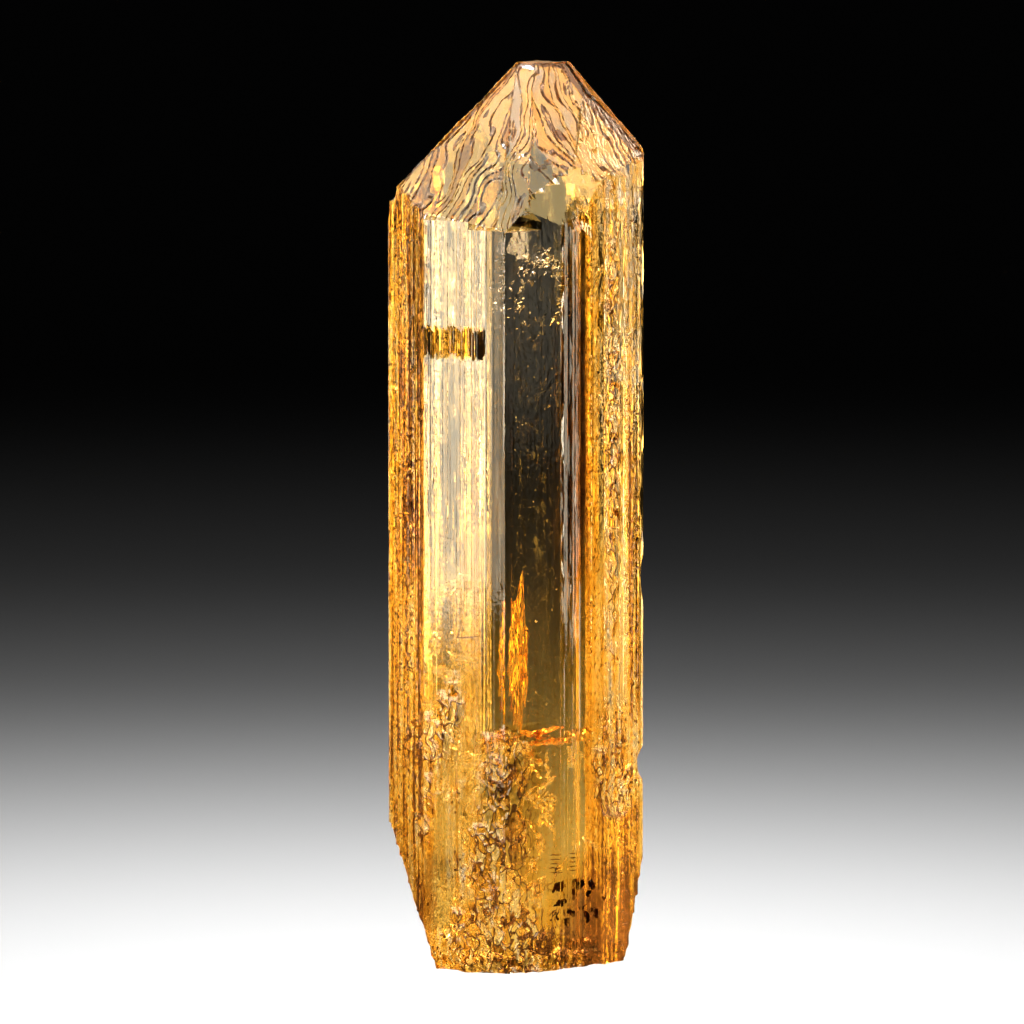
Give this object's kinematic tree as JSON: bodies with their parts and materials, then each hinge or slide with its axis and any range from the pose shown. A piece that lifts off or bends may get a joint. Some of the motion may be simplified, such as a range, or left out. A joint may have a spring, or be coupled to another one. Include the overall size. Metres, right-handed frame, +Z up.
{
  "type": "topaz crystal",
  "caption": "Loose golden-orange topaz crystal with striated prism faces, a blunt pyramid top and a flat broken foot, standing upright.",
  "frame": {"origin": "middle of the flat cleavage that the crystal stands on, under the centre of its bounding box", "axes": "+Z up along the crystal's length, -Y to the front, where the two widest prism faces meet in an edge"},
  "size_m": [0.014, 0.0117, 0.05],
  "materials": {
    "topaz": "clear golden-orange crystal, naturally striated and etched"
  },
  "bodies": {
    "root": {"topaz_crystal": "topaz"}
  },
  "joints": []
}
